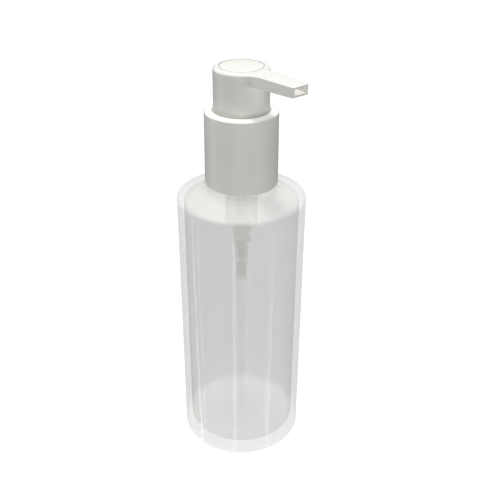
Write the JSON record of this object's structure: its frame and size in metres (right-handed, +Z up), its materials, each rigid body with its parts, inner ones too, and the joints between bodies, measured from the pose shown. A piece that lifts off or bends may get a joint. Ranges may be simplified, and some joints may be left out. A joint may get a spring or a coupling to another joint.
{
  "type": "soap pump dispenser",
  "caption": "Clear cylindrical bottle with a white screw-on lotion pump: press head with a flat spout, tall smooth collar, translucent barrel and dip tube.",
  "frame": {"origin": "centre of the bottle's flat base", "axes": "+Z up the bottle's axis, +X towards the spout's tip"},
  "size_m": [0.0664, 0.06, 0.1958],
  "materials": {
    "clear_plastic": "clear, polished",
    "white_plastic": "smooth satin, warm white",
    "natural_plastic": "translucent, uncoloured",
    "clear_tube": "clear",
    "soft_seal": "matt",
    "spring_steel": "drawn wire",
    "ball_glass": "polished"
  },
  "bodies": {
    "bottle_body": {"bottle": "clear_plastic"},
    "pump_body": {"pump_housing": "natural_plastic", "neck_gasket": "soft_seal", "chaplet": "white_plastic", "stem_seal": "soft_seal", "ball_retainer": "natural_plastic", "dip_tube": "clear_tube", "return_spring": "spring_steel"},
    "closure_body": {"closure_cap": "white_plastic", "collar_shell": "white_plastic"},
    "plunger": {"stem": "white_plastic", "valve_pin": "natural_plastic"},
    "head": {"actuator_head": "white_plastic", "head_disc": "white_plastic"},
    "piston_body": {"piston": "natural_plastic"},
    "ball_body": {"inlet_ball": "ball_glass"}
  },
  "joints": [
    {"name": "pump_rise", "type": "slide", "parent": "bottle_body", "child": "pump_body", "axis": [0, 0, 1], "range_m": [0, 0.00634]},
    {"name": "closure_turn", "type": "hinge", "parent": "pump_body", "child": "closure_body", "pos_m": [0, 0, 0.15], "axis": [0, 0, 1], "range_deg": [0, 540]},
    {"name": "head_press", "type": "slide", "parent": "pump_body", "child": "plunger", "axis": [0, 0, -1], "range_m": [0, 0.0115], "stiffness_N_per_m": 600, "springref_m": -0.008, "deforming": ["return_spring"]},
    {"name": "head_turn", "type": "hinge", "parent": "plunger", "child": "head", "pos_m": [0, 0, 0.185], "axis": [0, 0, 1], "continuous": true},
    {"name": "piston_slip", "type": "slide", "parent": "plunger", "child": "piston_body", "axis": [0, 0, 1], "range_m": [0, 0.0012]},
    {"name": "inlet_ball_lift", "type": "slide", "parent": "pump_body", "child": "ball_body", "axis": [0, 0, 1], "range_m": [0, 0.0015]}
  ],
  "couplings": [
    {"joint": "closure_turn", "follows": "pump_rise", "rad_per_m": 1484.3}
  ]
}
